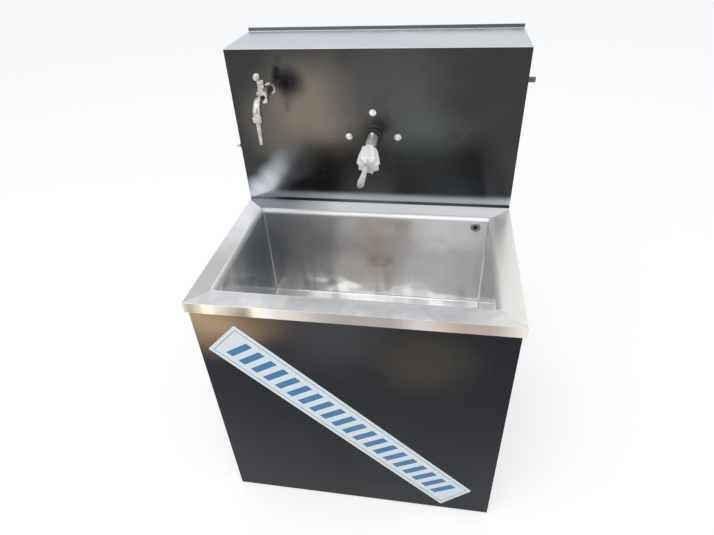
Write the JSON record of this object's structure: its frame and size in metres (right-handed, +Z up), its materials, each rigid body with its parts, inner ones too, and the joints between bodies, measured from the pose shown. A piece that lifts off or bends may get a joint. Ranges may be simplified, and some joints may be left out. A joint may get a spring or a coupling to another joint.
{
  "type": "bottle washing machine",
  "caption": "Sink cabinet with a splash-back box: a flange motor turns a bottle brush over the basin, beside a rinsing tap and a toggle switch.",
  "frame": {"origin": "on the floor under the middle of the machine", "axes": "+Z up, front (basin side) towards -Y, tap on the -X side, water inlet on the +X side"},
  "size_m": [0.7961, 0.6856, 1.164],
  "materials": {
    "dark_panel": "gloss",
    "bright_steel": "polished",
    "frame_tube": "satin",
    "screw_steel": "polished",
    "tap_chrome": "polished",
    "motor_paint": "satin",
    "motor_steel": "machined",
    "copper": "satin",
    "black_rubber": "matt",
    "black_plastic": "matt",
    "grey_plastic": "satin",
    "white_plastic": "gloss",
    "bristle": "matt",
    "lead_grey": "matt"
  },
  "bodies": {
    "chassis": {"front_panel": "dark_panel", "left_panel": "dark_panel", "right_panel": "dark_panel", "rear_panel": "dark_panel", "splash_panel": "dark_panel", "box_left_panel": "dark_panel", "box_right_panel": "dark_panel", "rear_cover": "dark_panel", "rim_front": "bright_steel", "rim_left": "bright_steel", "rim_right": "bright_steel", "rear_deck": "bright_steel", "basin": "bright_steel", "box_top": "bright_steel", "drain_strainer": "bright_steel", "overflow_fitting": "bright_steel", "post_front_left": "frame_tube", "post_front_right": "frame_tube", "post_rear_left": "frame_tube", "post_rear_right": "frame_tube", "bottom_rail_left": "frame_tube", "bottom_rail_right": "frame_tube", "bottom_rail_rear": "frame_tube", "top_rail_left": "frame_tube", "top_rail_right": "frame_tube", "deck_rail": "frame_tube", "casing_screws": "screw_steel", "flange_bolts": "screw_steel", "pipe_locknuts": "screw_steel", "tap_body": "tap_chrome", "tap_nozzle": "tap_chrome", "inlet_nipple": "tap_chrome", "motor_flange": "motor_paint", "motor_frame": "motor_paint", "motor_rear_shield": "motor_paint", "fan_cowl": "motor_paint", "motor_bearings": "motor_steel", "stator_core": "motor_steel", "stator_windings": "copper", "feed_pipe": "copper", "glide_feet": "black_rubber", "terminal_box": "black_plastic", "cable_gland": "black_plastic", "switch_body": "black_plastic", "capacitor": "black_plastic", "drain_nut": "grey_plastic", "drain_body": "grey_plastic", "waste_pipe": "grey_plastic", "overflow_hose": "grey_plastic", "motor_leads": "lead_grey"},
    "spindle": {"rotor_core": "motor_steel", "motor_shaft": "motor_steel", "motor_fan": "black_plastic", "shaft_slinger": "black_rubber", "brush_chuck": "tap_chrome", "chuck_screw": "screw_steel", "brush_stem": "motor_steel", "brush_bristles": "bristle"},
    "tap_lever": {"tap_handle": "tap_chrome"},
    "switch_toggle": {"switch_lever": "white_plastic"}
  },
  "joints": [
    {"name": "brush_spin", "type": "hinge", "parent": "chassis", "child": "spindle", "pos_m": [0, 0.14265, 0.932], "axis": [0, -1, 0], "continuous": true},
    {"name": "tap_turn", "type": "hinge", "parent": "chassis", "child": "tap_lever", "pos_m": [-0.265, 0.07665, 1.059], "axis": [0, 0, 1], "range_deg": [0, 90]},
    {"name": "switch_throw", "type": "hinge", "parent": "chassis", "child": "switch_toggle", "pos_m": [-0.3825, 0.16765, 0.89], "axis": [0, 1, 0], "range_deg": [0, 24]}
  ]
}
